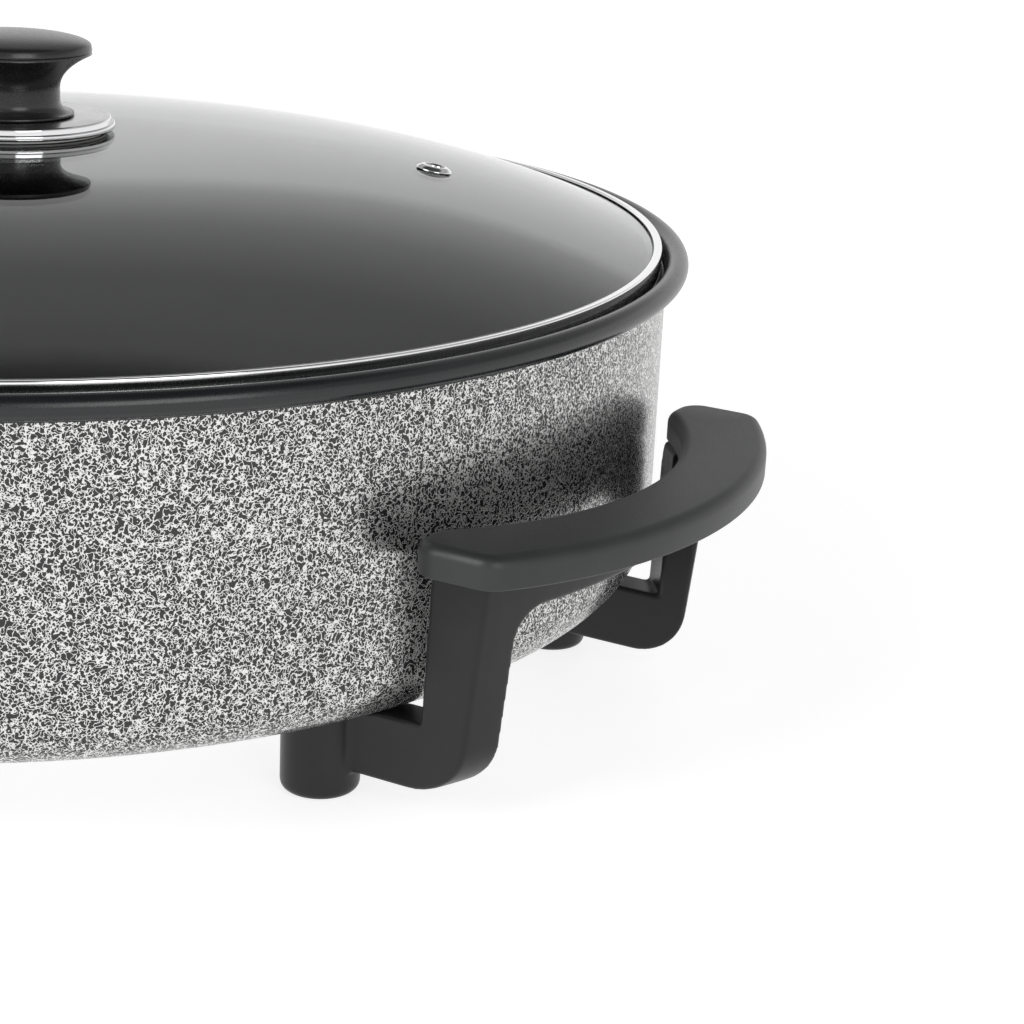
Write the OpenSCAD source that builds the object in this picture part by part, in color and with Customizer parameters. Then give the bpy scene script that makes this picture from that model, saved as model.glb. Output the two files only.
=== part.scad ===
// Round electric skillet: deep pan on two leg handles, heater below, glass lid that lifts off.
// The pan's axis is the Z axis, the handles point along +X and -X, and the feet stand on z = 0.

/* [Pan] */
// Outer radius of the pan's upright wall
pan_r = 203.4; // [185:0.1:225]
// Height of the pan's underside above the table
pan_lift = 26.6; // [24:0.1:34]
// Height from the pan's underside to the middle of the rolled rim
pan_depth = 96.3; // [70:0.1:120]
// Thickness of the wall
wall_t = 3.2; // [2.6:0.1:4]
// Thickness of the floor
floor_t = 3.6; // [3:0.1:6]
// Outer radius of the corner between floor and wall
corner_r = 16; // [12:0.5:22]
// Radius of the rolled rim's round section
bead_r = 3.3; // [2.5:0.1:4]
// Width of the ledge that the lid rests on
ledge_w = 2.6; // [2.2:0.1:2.8]
// Depth of the ledge below the middle of the rolled rim
ledge_drop = 3; // [2:0.1:4]

/* [Handles] */
// Height of the grip's top above the table
grip_top = 82; // [76:0.5:90]
// Thickness of the grip
grip_t = 8.2; // [7:0.1:12]
// Reach of a grip beyond the pan's wall
grip_out = 42.1; // [38:0.1:50]
// Radius of the grip's outer edge seen from above
grip_outer_r = 144; // [120:1:170]
// Gap for the fingers between the pan's wall and the middle of the grip
finger_gap = 18.6; // [14:0.1:24]
// Radius of the grip's inner edge seen from above
grip_inner_r = 102; // [90:1:115]
// Half the length of a grip across the handle
grip_half = 82.5; // [76:0.5:90]
// Roundness of the grip's edges
grip_edge_r = 3.4; // [2:0.1:3.8]
// Roundness of the grip's ends seen from above
grip_corner_r = 8; // [6:0.5:12]
// Height of the web between the legs
web_h = 13.6; // [10:0.1:22]
// Thickness of the web
web_t = 5; // [4:0.1:7]
// Reach of the web's lower edge beyond the pan's wall
front_out = 21.4; // [16:0.1:28]
// Radius of the handle's front face seen from above
front_r = 178; // [150:1:240]
// Lean of the front face, outwards going up, in degrees
front_lean = 5.6; // [0:0.1:9]
// How far the back of a leg leans in from the grip's inner edge down to its arm
leg_lean_in = 1.6; // [0.6:0.1:2]
// Distance from the middle of the handle to a leg's inner side
leg_in = 57; // [50:0.5:58]
// Width of a leg across the handle
leg_w = 12; // [10:0.5:18]
// Height of an arm
arm_h = 19.3; // [14:0.1:22]
// Roundness of the corner where a leg turns into its arm
leg_bend_r = 16; // [8:0.5:18]

/* [Feet] */
// Distance of a foot inside the pan's wall, along the handle
foot_in = 42.4; // [36:0.1:48]
// Distance of a foot from the middle of the handle
foot_y = 66.4; // [62:0.1:68]
// Radius of a foot
foot_r = 11; // [9:0.1:13]
// How far the feet stand below the arms
foot_drop = 7.7; // [6:0.1:12]
// Roundness of a foot's lower edge
foot_edge_r = 2.5; // [1:0.1:4]
// Thickness of the floor that a foot's screw pulls on
foot_web_t = 5; // [4:0.1:7]

/* [Lid] */
// Radial gap between the lid's ring and the rolled rim
lid_gap = 1.2; // [0.6:0.1:1.3]
// Height of the lid's ring
ring_h = 7.6; // [6:0.1:10]
// Thickness of the ring's steel strip
ring_t = 0.8; // [0.6:0.1:1]
// Width of the ring seen from above
ring_w = 2.6; // [2:0.1:4]
// Thickness of the glass
glass_t = 4; // [3:0.1:4.2]
// Rise of the glass from its edge to its middle
glass_rise = 26.6; // [18:0.1:40]
// Distance of the steam vent from the lid's axis
vent_r = 130; // [90:1:160]
// Direction of the steam vent, turned from the +X handle
vent_turn = 31; // [0:1:359]
// Radius of the steam vent's flange
vent_flange_r = 5.6; // [4.5:0.1:7]
// Radius of the steam vent's bore
vent_bore_r = 2.6; // [1.5:0.1:3]

/* [Knob] */
// Radius of the plate under the knob
plate_r = 31.4; // [28:0.1:36]
// Thickness of the plate under the knob
plate_t = 3.6; // [3:0.1:6]
// Radius of the knob's foot
knob_foot_r = 19; // [17:0.1:22]
// Radius of the knob's waist
knob_waist_r = 14.8; // [12:0.1:16]
// Radius of the knob's top
knob_top_r = 24.6; // [23:0.1:30]
// Height of the knob above its plate
knob_h = 25; // [22:0.1:34]

/* [Heater] */
// Distance of the heater plate's edge inside the pan's wall
heater_in = 71.4; // [68:0.1:80]
// Thickness of the heater plate
heater_t = 3.5; // [3:0.1:4]
// Distance of the heating tube's loop inside the heater plate's edge
tube_in = 20; // [18:0.5:30]
// Radius of the heating tube
tube_r = 3.3; // [3:0.1:3.5]
// Bend radius where the heating tube leaves its loop
tube_bend_r = 20; // [16:1:24]
// Distance of the bottom cover's rim inside the pan's wall
cover_in = 54.4; // [52:0.1:57]
// Depth of the bottom cover
cover_depth = 14.6; // [14:0.1:16]
// Thickness of the bottom cover's sheet
cover_t = 0.8; // [0.6:0.1:1.2]

/* [Inlet] */
// Half the distance between the inlet's two pins
pin_half = 13; // [12:0.1:14]
// Radius of a pin
pin_r = 3; // [2.5:0.1:3.2]
// Free length of a pin
pin_len = 17; // [14:0.5:20]
// Radius of the bore that takes the thermostat probe
probe_r = 3.1; // [2.5:0.1:3.4]
// Depth of the bore that takes the thermostat probe
probe_len = 44; // [36:1:46]
// Half the width of the inlet's guard
guard_half = 29; // [27:0.5:34]
// Distance of the guard's mouth inside the pan's wall
guard_in = 0.4; // [0.2:0.1:3]
// Length of the guard
guard_len = 32; // [30:0.5:34]
// Thickness of the guard's walls
guard_t = 2.2; // [1.8:0.1:3]

/* [Fasteners] */
// Radius of the foot screws, the studs and the knob screw
screw_r = 2; // [1.5:0.1:2.2]
// Radius of a screw's head
head_r = 3.9; // [3:0.1:4.5]
// Height of a screw's head
head_h = 2.2; // [1.8:0.1:3.2]
// Distance across the corners of a nut, halved
nut_r = 4; // [3.5:0.1:5]
// Height of a nut
nut_h = 3.2; // [2.5:0.1:3.4]

/* [Hidden] */

// Small gaps
seat_gap = 0.3;
hole_gap = 0.15;
weld_gap = 0.02;
over = 1;
smooth = 180;
fine = 48;
coarse = 24;

// Heights of the pan
rim_z = pan_lift + pan_depth;
ledge_z = rim_z - ledge_drop;
inner_r = pan_r - wall_t;
mouth_r = inner_r + ledge_w;
bead_x = pan_r + bead_r;
flare_h = bead_r / 2;

// Handle outline
grip_reach = pan_r + grip_out;
front_reach = pan_r + front_out;
foot_x = pan_r - foot_in;
grip_bottom = grip_top - grip_t;
grip_back = pan_r + finger_gap;
grip_outer_x = grip_reach - grip_outer_r;
grip_inner_x = grip_back - grip_inner_r;
grip_nose = 6.5;
grip_end_x = grip_inner_x + sqrt(pow(grip_inner_r, 2) - pow(grip_half - grip_corner_r - grip_nose, 2));
shelf_t = 2.2;
shelf_inset = 6.8;
shelf_back = 1;
shelf_z = grip_bottom - hole_gap - shelf_t;
web_bottom = grip_bottom - web_h;
window_r = 9;
arm_z = foot_drop;
arm_top = arm_z + arm_h;
leg_out = leg_in + leg_w;
screw_side = 44.5;
screw_ring_r = front_r + (shelf_z - web_bottom) * tan(front_lean) + head_r + over;
front_x = front_reach - front_r;
screw_turn = asin(screw_side / screw_ring_r);
bend_z = arm_z + leg_bend_r;
bend_front_r = front_r + ((bend_z - web_bottom) * sin(front_lean) - leg_bend_r) / cos(front_lean);

// Foot posts and the bosses that they sit on
boss_r = 5;
boss_h = 7;
boss_wall = boss_r + hole_gap;
foot_hole_r = screw_r + hole_gap;
recess_r = head_r + 2 * seat_gap;
recess_h = pan_lift - boss_h - foot_web_t;

// Lid heights
ring_r = mouth_r - lid_gap;
ring_z = ledge_z + seat_gap;
ring_top = ring_z + ring_h;
glass_r = ring_r - ring_t - hole_gap;
glass_crown = 2.85;
hem_rise = glass_rise * (1 - pow((ring_r - ring_w) / glass_r, glass_crown));
glass_z = ring_top - ring_t - hole_gap - hem_rise;
glass_steps = 28;
hub_hole_r = screw_r + 2 * seat_gap;
vent_wall = 0.7;
vent_slope = atan(glass_rise * glass_crown / glass_r * pow(vent_r / glass_r, glass_crown - 1));

// Knob heights
flare_power = 2.2;
gasket_t = 0.8;
gasket_r = plate_r - 2 * plate_t / 3;
gasket_z = glass_z + glass_rise + hole_gap;
plate_z = gasket_z + gasket_t;
knob_z = plate_z + plate_t;
knob_rim_t = 2.4;
knob_crown = 4;
waist_share = 0.32;
insert_r = 5;
insert_h = 12;
lower_r = 11;
lower_z = glass_z + glass_rise - glass_t - hole_gap;
washer_t = 1.2;

// Heater
heater_r = pan_r - heater_in;
tube_loop_r = heater_r - tube_in;
cover_r = pan_r - cover_in;
guard_reach = pan_r - guard_in;
guard_back = guard_reach - guard_len;
tube_z = pan_lift - heater_t - tube_r - seat_gap;
stud_ring_r = 66;
stud_turn = 60;
stud_count = 3;
cover_brim_w = 12;
cover_floor_r = cover_r - cover_brim_w;
cover_lip_w = 8;
well_half = 6.6;
well_bottom = tube_z - probe_r - 2.6;
well_nose = 7;
well_reach = guard_back + well_nose;
stud_tip_h = 0.6;
spring_t = 0.8;
spring_w = 8;
spring_len = 16;
spring_lip = 3;
spring_z = well_bottom - spring_t - hole_gap;
seal_r = 5.2;
pin_root_r = pin_r - 2 * seat_gap;
seal_len = 9;
pin_start = guard_back + seal_len + hole_gap;
pin_end = pin_start + pin_len;
guard_floor = 9;
ear_w = 9;
ear_t = 3;
ear_y = guard_half + ear_w / 2;
ear_x = guard_back + ear_w / 2;
bend_y = pin_half + tube_bend_r;
bend_x = sqrt(pow(tube_loop_r + tube_bend_r, 2) - pow(bend_y, 2));
bend_turn = atan2(bend_y, bend_x);

// Height of the glass's upper face at a distance from the axis
function glass_top(r) = glass_z + glass_rise * (1 - pow(r / glass_r, glass_crown));

// Section of a cup: upright wall, flat floor and a round corner
module cup_section(r, h, corner) {
    square([r - corner, h]);
    translate([0, corner]) square([r, h - corner]);
    translate([r - corner, corner]) circle(corner, $fn = smooth);
}

// Section of the pan's rim: flare, flange and rolled edge
module rim_section() {
    polygon([[inner_r, ledge_z - flare_h], [pan_r, ledge_z - flare_h], [bead_x, rim_z - bead_r],
             [bead_x, rim_z], [mouth_r, rim_z], [mouth_r, ledge_z], [inner_r, ledge_z]]);
    translate([bead_x, rim_z]) circle(bead_r, $fn = fine);
}

// Copies at the four feet
module at_feet() {
    for (side = [-1, 1], hand = [-1, 1]) translate([side * foot_x, hand * foot_y, 0]) children();
}

// Copies at the two feet of the right handle
module at_right_feet() {
    for (hand = [-1, 1]) translate([foot_x, hand * foot_y, 0]) children();
}

// Copies at the studs that carry the heater and the cover
module at_studs() {
    for (i = [0 : stud_count - 1]) rotate([0, 0, stud_turn + i * 360 / stud_count])
        translate([stud_ring_r, 0, 0]) children();
}

// Copies at the studs that carry the inlet's guard
module at_ears() {
    for (hand = [-1, 1]) translate([-ear_x, hand * ear_y, 0]) children();
}

// Body of revolution that leaves room for the pan
module pan_room() {
    translate([0, 0, pan_lift - seat_gap]) rotate_extrude($fn = smooth)
        cup_section(pan_r + seat_gap, pan_depth, corner_r + seat_gap);
}

// Hexagon nut with its bore
module nut() {
    difference() {
        cylinder(r = nut_r, h = nut_h, $fn = 6);
        translate([0, 0, -over]) cylinder(r = screw_r + hole_gap, h = nut_h + 2 * over, $fn = coarse);
    }
}

// Round-headed screw that points up, head below z = 0
module screw(length) {
    cylinder(r = screw_r, h = length, $fn = coarse);
    translate([0, 0, -head_h]) cylinder(r1 = head_r - head_h / 4, r2 = head_r, h = head_h, $fn = fine);
}

module pan() {
    color("dimgray") rotate_extrude($fn = smooth) difference() {
        union() {
            translate([0, pan_lift]) cup_section(pan_r, ledge_z - pan_lift, corner_r);
            rim_section();
        }
        translate([0, pan_lift + floor_t]) cup_section(inner_r, pan_depth, corner_r - wall_t);
    }
}

// Threaded pin that hangs from the pan's underside, drawn plain with a chamfered tip
module stud(length) {
    translate([0, 0, pan_lift - length]) {
        cylinder(r1 = screw_r - stud_tip_h, r2 = screw_r, h = stud_tip_h, $fn = coarse);
        translate([0, 0, stud_tip_h]) cylinder(r = screw_r, h = length - stud_tip_h - weld_gap, $fn = coarse);
    }
}

module heater_studs() {
    color("silver") at_studs() stud(cover_depth + 2 * nut_h);
}

module guard_studs() {
    color("silver") at_ears() stud(ear_t + 2 * nut_h);
}

// Round bosses under the pan that take the foot screws
module foot_bosses() {
    color("silver") at_feet() translate([0, 0, pan_lift - boss_h]) difference() {
        cylinder(r = boss_r, h = boss_h - weld_gap, $fn = fine);
        translate([0, 0, -over]) cylinder(r = screw_r + hole_gap, h = boss_h + 2 * over, $fn = coarse);
    }
}

module heater_plate() {
    well_h = pan_lift - seat_gap - well_bottom;
    color("silver") difference() {
        union() {
            translate([0, 0, pan_lift - heater_t - seat_gap / 2])
                cylinder(r = heater_r, h = heater_t, $fn = smooth);
            translate([-well_reach, -well_half, well_bottom])
                cube([well_reach - heater_r + probe_len / 2, 2 * well_half, well_h]);
        }
        translate([-well_reach - over, 0, tube_z]) rotate([0, 90, 0])
            cylinder(r = probe_r, h = probe_len + over, $fn = fine);
        at_studs() translate([0, 0, tube_z])
            cylinder(r = screw_r + hole_gap, h = pan_lift, $fn = coarse);
    }
}

// Half of the tube's way out: the bend and the straight lead to one pin
module tube_lead() {
    translate([-bend_x, bend_y, tube_z]) rotate([0, 0, 270])
        rotate_extrude(angle = 90 - bend_turn, $fn = smooth)
            translate([tube_bend_r, 0]) circle(tube_r, $fn = coarse);
    translate([-bend_x, pin_half, tube_z]) rotate([0, -90, 0])
        cylinder(r = tube_r, h = guard_back - bend_x - seat_gap, $fn = coarse);
}

module heating_tube() {
    color("darkslategray") union() {
        rotate([0, 0, bend_turn - 180]) translate([0, 0, tube_z])
            rotate_extrude(angle = 360 - 2 * bend_turn, $fn = smooth)
                translate([tube_loop_r, 0]) circle(tube_r, $fn = coarse);
        tube_lead();
        mirror([0, 1, 0]) tube_lead();
    }
}

module tube_seals() {
    color("ivory") for (hand = [-1, 1])
        translate([-guard_back, hand * pin_half, tube_z]) rotate([0, -90, 0]) difference() {
            union() {
                cylinder(r = seal_r, h = seal_len, $fn = fine);
                translate([0, 0, guard_t + hole_gap])
                    cylinder(r = seal_r + over, h = seal_len / 3, $fn = fine);
            }
            translate([0, 0, seal_len / 2 - hole_gap]) cylinder(r = pin_root_r + hole_gap, h = seal_len, $fn = fine);
        }
}

module inlet_pins() {
    root_len = seal_len / 2;
    color("gold") for (hand = [-1, 1]) translate([-pin_end, hand * pin_half, tube_z]) rotate([0, 90, 0]) {
        cylinder(r1 = pin_r / 2, r2 = pin_r, h = pin_r / 2, $fn = fine);
        translate([0, 0, pin_r / 2]) cylinder(r = pin_r, h = pin_len - pin_r / 2, $fn = fine);
        translate([0, 0, pin_len]) cylinder(r = pin_root_r, h = root_len, $fn = fine);
    }
}

module inlet_guard() {
    guard_h = pan_lift + corner_r - guard_floor;
    color("black") difference() {
        union() {
            translate([-guard_reach, -guard_half, guard_floor])
                cube([guard_len, 2 * guard_half, guard_h]);
            translate([-guard_back - ear_w, -guard_half - ear_w, pan_lift - ear_t - seat_gap])
                cube([ear_w, 2 * (guard_half + ear_w), ear_t]);
        }
        translate([-guard_reach - over, -guard_half + guard_t, guard_floor + guard_t])
            cube([guard_len - guard_t + over, 2 * (guard_half - guard_t), guard_h]);
        for (hand = [-1, 1]) translate([-guard_back - guard_len / 2, hand * pin_half, tube_z])
            rotate([0, 90, 0]) cylinder(r = seal_r + hole_gap, h = guard_len, $fn = fine);
        translate([-guard_back - guard_len / 2, -well_half - seat_gap, spring_z - seat_gap])
            cube([guard_len, 2 * (well_half + seat_gap), guard_h]);
        at_ears() translate([0, 0, guard_floor]) cylinder(r = screw_r + hole_gap, h = guard_h, $fn = coarse);
        pan_room();
    }
}

module guard_nuts() {
    color("lightgray") at_ears() translate([0, 0, pan_lift - ear_t - 1.5 * seat_gap - nut_h]) nut();
}

module earth_spring() {
    color("orange") union() {
        translate([-well_reach, -spring_w / 2, spring_z]) cube([spring_len, spring_w, spring_t]);
        translate([-well_reach - spring_t, -spring_w / 2, spring_z]) cube([spring_t, spring_w, spring_lip]);
    }
}

module plate_nuts() {
    color("lightgray") at_studs() translate([0, 0, pan_lift - heater_t - seat_gap - nut_h]) nut();
}

module bottom_cover() {
    cover_z = pan_lift - cover_depth;
    color("gainsboro") difference() {
        rotate_extrude($fn = smooth) polygon([
            [0, cover_z], [cover_floor_r - cover_lip_w, cover_z],
            [cover_floor_r, pan_lift - seat_gap - cover_t],
            [cover_r, pan_lift - seat_gap - cover_t], [cover_r, pan_lift - seat_gap],
            [cover_floor_r - cover_t, pan_lift - seat_gap],
            [cover_floor_r - cover_lip_w - cover_t, cover_z + cover_t], [0, cover_z + cover_t]]);
        translate([-cover_r - over, -pin_half - 2 * tube_r, cover_z + cover_t])
            cube([cover_r - tube_loop_r, 2 * (pin_half + 2 * tube_r), cover_depth]);
        at_studs() cylinder(r = screw_r + hole_gap, h = pan_lift, $fn = coarse);
    }
}

module cover_nuts() {
    color("lightgray") at_studs() translate([0, 0, pan_lift - cover_depth - nut_h - hole_gap]) nut();
}

// Outline of a grip seen from above, before its ends are rounded
module grip_outline() {
    difference() {
        intersection() {
            translate([grip_outer_x, 0]) circle(grip_outer_r, $fn = smooth);
            translate([grip_end_x, -grip_half]) square([grip_reach, 2 * grip_half]);
        }
        translate([grip_inner_x, 0]) circle(grip_inner_r, $fn = smooth);
    }
}

// Outline of a grip drawn in by a given amount, with rounded ends
module grip_plan(inset) {
    offset(r = grip_corner_r - inset, $fn = coarse) offset(delta = -grip_corner_r) grip_outline();
}

module right_grip() {
    color("#303230") difference() {
        translate([0, 0, grip_bottom + grip_edge_r]) minkowski() {
            linear_extrude(grip_t - 2 * grip_edge_r) grip_plan(grip_edge_r);
            sphere(grip_edge_r, $fn = 16);
        }
        at_grip_screws() translate([0, 0, grip_bottom - over])
            cylinder(r = screw_r + hole_gap, h = grip_t / 2 + over, $fn = coarse);
    }
}

// Copies at the three screws that hold a grip on its frame
module at_grip_screws() {
    for (turn = [-screw_turn, 0, screw_turn])
        translate([front_x, 0, 0]) rotate([0, 0, turn]) translate([screw_ring_r, 0, 0]) children();
}

module right_grip_screws() {
    color("silver") at_grip_screws() translate([0, 0, shelf_z - hole_gap])
        screw(shelf_t + grip_t / 2 - seat_gap);
}

// Section of the front face: it leans outwards and turns into the arm with a round corner
module front_section() {
    top_r = front_r + (shelf_z + over - web_bottom) * tan(front_lean);
    polygon([[bend_front_r - grip_reach / 3, arm_z], [bend_front_r, arm_z],
             [bend_front_r + leg_bend_r * cos(front_lean), bend_z - leg_bend_r * sin(front_lean)],
             [top_r, shelf_z + over], [bend_front_r - grip_reach / 3, shelf_z + over]]);
    translate([bend_front_r, bend_z]) circle(leg_bend_r, $fn = smooth);
}

// The space behind the front face
module front_body() {
    translate([front_x, 0, 0]) rotate_extrude($fn = smooth) front_section();
}

// Legs and web seen from the front, around the window with its rounded upper corners
module front_view() {
    difference() {
        translate([-leg_out, arm_z - over]) square([2 * leg_out, shelf_z + 2 * over - arm_z]);
        translate([-leg_in, -over]) square([2 * leg_in, web_bottom - window_r + over]);
        translate([-leg_in + window_r, 0]) square([2 * (leg_in - window_r), web_bottom]);
        for (hand = [-1, 1]) translate([hand * (leg_in - window_r), web_bottom - window_r])
            circle(window_r, $fn = fine);
    }
}

// Legs, arms and web
module legs() {
    difference() {
        intersection() {
            front_body();
            translate([foot_x, 0, 0]) rotate([90, 0, 90]) linear_extrude(grip_reach) front_view();
        }
        intersection() {
            translate([front_x, 0, arm_z]) cylinder(r = front_r - web_t, h = grip_top, $fn = smooth);
            translate([0, -leg_in, arm_z]) cube([grip_reach, 2 * leg_in, grip_top]);
        }
    }
}

// Flat top of the frame, which carries the grip
module shelf() {
    translate([0, 0, shelf_z]) linear_extrude(shelf_t) difference() {
        intersection() {
            translate([grip_outer_x, 0]) circle(grip_outer_r - shelf_inset, $fn = smooth);
            translate([grip_inner_x, -leg_out]) square([grip_reach, 2 * leg_out]);
        }
        translate([grip_inner_x, 0]) circle(grip_inner_r + shelf_back, $fn = smooth);
    }
}

// Round post with a softened lower edge
module foot_post() {
    rotate_extrude($fn = fine) {
        square([foot_r - foot_edge_r, pan_lift]);
        translate([0, foot_edge_r]) square([foot_r, pan_lift - foot_edge_r]);
        translate([foot_r - foot_edge_r, foot_edge_r]) circle(foot_edge_r, $fn = coarse);
    }
}

module right_handle_frame() {
    color("#2a2c2a") difference() {
        union() {
            shelf();
            legs();
            at_right_feet() foot_post();
        }
        pan_room();
        translate([grip_inner_x, 0, arm_top])
            cylinder(r1 = grip_inner_r - leg_lean_in, r2 = grip_inner_r, h = grip_top - arm_top, $fn = smooth);
        at_right_feet() {
            translate([0, 0, -over]) cylinder(r = recess_r, h = recess_h + over, $fn = fine);
            translate([0, 0, -over]) cylinder(r = foot_hole_r, h = pan_lift, $fn = coarse);
            translate([0, 0, pan_lift - boss_h - hole_gap]) cylinder(r = boss_wall, h = pan_lift, $fn = fine);
        }
        at_grip_screws() translate([0, 0, web_bottom]) cylinder(r = screw_r + hole_gap, h = grip_top, $fn = coarse);
    }
}

module right_foot_screws() {
    color("silver") at_right_feet() translate([0, 0, recess_h - hole_gap])
        screw(foot_web_t + boss_h - 2 * seat_gap);
}

module lid_glass() {
    inner = [for (i = [0 : glass_steps]) let (r = glass_r * i / glass_steps) [r, glass_top(r) - glass_t]];
    outer = [for (i = [glass_steps : -1 : 0]) let (r = glass_r * i / glass_steps) [r, glass_top(r)]];
    color([0.55, 0.6, 0.6, 0.5]) difference() {
        rotate_extrude($fn = smooth) polygon(concat(inner, outer));
        cylinder(r = hub_hole_r, h = knob_z, $fn = fine);
        at_vent() cylinder(r = vent_bore_r + vent_wall + hole_gap, h = 4 * glass_t, center = true, $fn = fine);
    }
}

module lid_ring() {
    lip_w = 2 * ring_w;
    lip_z = glass_z - glass_t - ring_t - hole_gap;
    foot_w = 2 * ring_t + hole_gap;
    color("silver") rotate_extrude($fn = smooth) {
        translate([ring_r - ring_t, ring_z]) square([ring_t, ring_h]);
        translate([ring_r - ring_w, ring_top - ring_t]) square([ring_w, ring_t]);
        translate([ring_r - lip_w, lip_z]) square([lip_w, ring_t]);
        translate([ring_r - foot_w, ring_z]) square([foot_w, ring_t]);
    }
}

// Placed on the glass, square to its upper face, where the vent is
module at_vent() {
    rotate([0, 0, vent_turn]) translate([vent_r, 0, glass_top(vent_r)]) rotate([0, vent_slope, 0]) children();
}

module steam_vent() {
    tube_wall_r = vent_bore_r + vent_wall;
    color("silver") at_vent() rotate_extrude($fn = fine) {
        translate([vent_bore_r, -glass_t - hole_gap - vent_wall])
            square([vent_wall, glass_t + 2 * (hole_gap + vent_wall)]);
        for (z = [hole_gap, -glass_t - hole_gap - vent_wall]) translate([vent_bore_r, z])
            square([vent_flange_r - vent_bore_r - vent_wall / 2, vent_wall]);
        translate([tube_wall_r, hole_gap + vent_wall]) circle(vent_wall, $fn = coarse);
    }
}

module knob_gasket() {
    color("whitesmoke") translate([0, 0, gasket_z]) difference() {
        cylinder(r = gasket_r, h = gasket_t - hole_gap, $fn = smooth);
        translate([0, 0, -over]) cylinder(r = hub_hole_r, h = gasket_t + 2 * over, $fn = fine);
    }
}

module knob_plate() {
    step_r = plate_r - plate_t / 3;
    edge_r = plate_t / 6;
    color("silver") translate([0, 0, plate_z]) difference() {
        rotate_extrude($fn = smooth) {
            square([plate_r - edge_r, plate_t / 2]);
            translate([0, edge_r]) square([plate_r, plate_t / 2 - 2 * edge_r]);
            for (z = [edge_r, plate_t / 2 - edge_r]) translate([plate_r - edge_r, z]) circle(edge_r, $fn = coarse);
            translate([0, plate_t / 2]) square([step_r - edge_r, plate_t / 2]);
            translate([0, plate_t / 2]) square([step_r, plate_t / 2 - edge_r]);
            translate([step_r - edge_r, plate_t - edge_r]) circle(edge_r, $fn = coarse);
        }
        translate([0, 0, -over]) cylinder(r = hub_hole_r, h = plate_t + 2 * over, $fn = fine);
    }
}

// Radius of the knob at a share of the way from its waist to its rim
function flare(share) = knob_waist_r + (knob_top_r - knob_waist_r) * pow(share, flare_power);

module knob() {
    foot_h = knob_h * 0.13;
    waist_z = knob_h * waist_share;
    rim_low = knob_h - knob_crown - knob_rim_t;
    flare_points = [for (i = [0 : 10]) [flare(i / 10), waist_z + (rim_low - waist_z) * i / 10]];
    crown_points = [for (a = [0 : 10 : 90]) [
        knob_top_r * cos(a), knob_h - knob_crown + knob_crown * sin(a)]];
    color("#1c1d1c") translate([0, 0, knob_z + hole_gap]) difference() {
        rotate_extrude($fn = smooth) polygon(concat(
            [[0, 0], [knob_foot_r, 0], [knob_foot_r, foot_h / 3], [knob_waist_r + hole_gap, foot_h]],
            flare_points, crown_points));
        translate([0, 0, -over]) cylinder(r = insert_r + hole_gap, h = insert_h + over, $fn = fine);
    }
}

module knob_insert() {
    color("goldenrod") translate([0, 0, knob_z + 2 * hole_gap]) difference() {
        cylinder(r = insert_r, h = insert_h - 2 * hole_gap, $fn = fine);
        translate([0, 0, -over]) cylinder(r = screw_r + hole_gap, h = insert_h - over, $fn = coarse);
    }
}

module knob_screw() {
    head_z = lower_z - gasket_t - washer_t - 2 * hole_gap;
    color("silver") translate([0, 0, head_z]) screw(knob_z + insert_h - head_z - 2 * over - seat_gap);
}

module lower_gasket() {
    color("whitesmoke") translate([0, 0, lower_z - gasket_t]) difference() {
        cylinder(r = lower_r, h = gasket_t - hole_gap, $fn = smooth);
        translate([0, 0, -over]) cylinder(r = hub_hole_r, h = gasket_t + 2 * over, $fn = fine);
    }
}

module lower_washer() {
    color("silver") translate([0, 0, lower_z - gasket_t - washer_t - hole_gap]) difference() {
        cylinder(r = lower_r - over, h = washer_t, $fn = smooth);
        translate([0, 0, -over]) cylinder(r = screw_r + hole_gap, h = washer_t + 2 * over, $fn = fine);
    }
}

// The left handle is the right one turned half a turn
module turned() {
    rotate([0, 0, 180]) children();
}

pan();
heater_plate();
heating_tube();
tube_seals();
inlet_pins();
inlet_guard();
guard_studs();
guard_nuts();
earth_spring();
heater_studs();
plate_nuts();
bottom_cover();
cover_nuts();
foot_bosses();
right_handle_frame();
right_grip();
right_grip_screws();
right_foot_screws();
turned() right_handle_frame();  // left_handle_frame
turned() right_grip();  // left_grip
turned() right_grip_screws();  // left_grip_screws
turned() right_foot_screws();  // left_foot_screws
lid_glass();
lid_ring();
steam_vent();
knob_gasket();
knob_plate();
knob();
knob_insert();
knob_screw();
lower_gasket();
lower_washer();
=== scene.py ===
"""Looks of a round electric skillet: coated pan, leg handles, glass lid, knob and heater.

Sizes are in millimetres until a mesh is made. The pan's axis is Z and the right handle points
along +X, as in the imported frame.
"""

import logging
import math
from dataclasses import dataclass, field
from enum import Enum
from typing import Callable, Sequence

import bmesh
import bpy
from mathutils import Matrix, Vector


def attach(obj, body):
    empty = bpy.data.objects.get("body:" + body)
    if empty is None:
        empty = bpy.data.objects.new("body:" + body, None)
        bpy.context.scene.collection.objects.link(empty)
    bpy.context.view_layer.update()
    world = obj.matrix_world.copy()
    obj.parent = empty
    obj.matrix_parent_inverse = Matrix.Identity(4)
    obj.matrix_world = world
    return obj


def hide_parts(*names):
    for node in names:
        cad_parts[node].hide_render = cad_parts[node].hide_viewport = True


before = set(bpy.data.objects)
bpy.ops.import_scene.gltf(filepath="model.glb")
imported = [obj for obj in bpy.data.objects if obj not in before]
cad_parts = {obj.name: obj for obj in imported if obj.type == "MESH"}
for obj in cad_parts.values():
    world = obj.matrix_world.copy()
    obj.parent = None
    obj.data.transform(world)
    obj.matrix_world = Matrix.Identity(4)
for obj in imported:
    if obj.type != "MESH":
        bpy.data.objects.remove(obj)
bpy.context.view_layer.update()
log = logging.getLogger("skillet")

MM = 0.001
Point = tuple[float, float]
Place = tuple[float, float, float]
Colour = tuple[float, float, float]


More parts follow.
